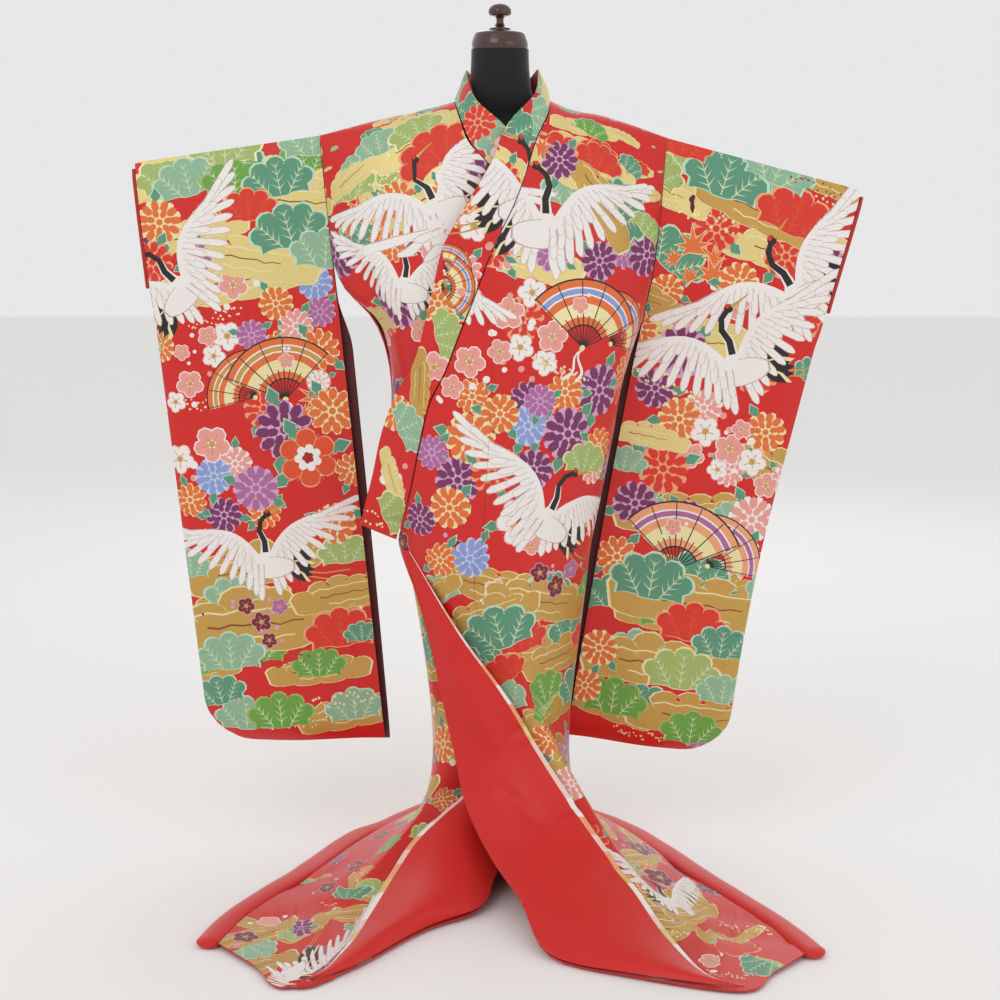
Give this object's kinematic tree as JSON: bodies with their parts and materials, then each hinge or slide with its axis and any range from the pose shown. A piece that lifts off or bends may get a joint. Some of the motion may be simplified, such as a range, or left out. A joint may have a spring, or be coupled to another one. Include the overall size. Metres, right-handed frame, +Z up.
{
  "type": "uchikake wedding kimono on a dress form",
  "caption": "Red and gold brocade bridal over-robe with long sleeves and a padded hem, worn by a limbless form on a stand",
  "frame": {"origin": "centre of the stand's base where it rests on the floor", "axes": "+Z up, the robe's front faces -Y, +X is the wearer's left"},
  "size_m": [1.2995, 0.9491, 1.5484],
  "materials": {
    "brocade": "satin",
    "red_silk": "satin",
    "dark_silk": "satin",
    "black_velvet": "matte",
    "turned_wood": "gloss",
    "stand_metal": "satin"
  },
  "bodies": {
    "root": {"back_left": "brocade", "back_right": "brocade", "front_left": "brocade", "front_right": "brocade", "okumi_left": "brocade", "okumi_right": "brocade", "collar_left": "brocade", "collar_right": "brocade", "lining_turn_left": "red_silk", "lining_turn_right": "red_silk", "hem_roll_left": "red_silk", "hem_roll_right": "red_silk", "sleeve_left_front": "brocade", "sleeve_left_back": "brocade", "sleeve_right_front": "brocade", "sleeve_right_back": "brocade", "mouth_roll_left": "red_silk", "mouth_roll_right": "red_silk", "sleeve_lining_left": "dark_silk", "sleeve_lining_right": "dark_silk", "form_torso": "black_velvet", "form_cap": "turned_wood", "form_knob": "turned_wood", "form_pole": "stand_metal", "form_base": "stand_metal"}
  },
  "joints": []
}
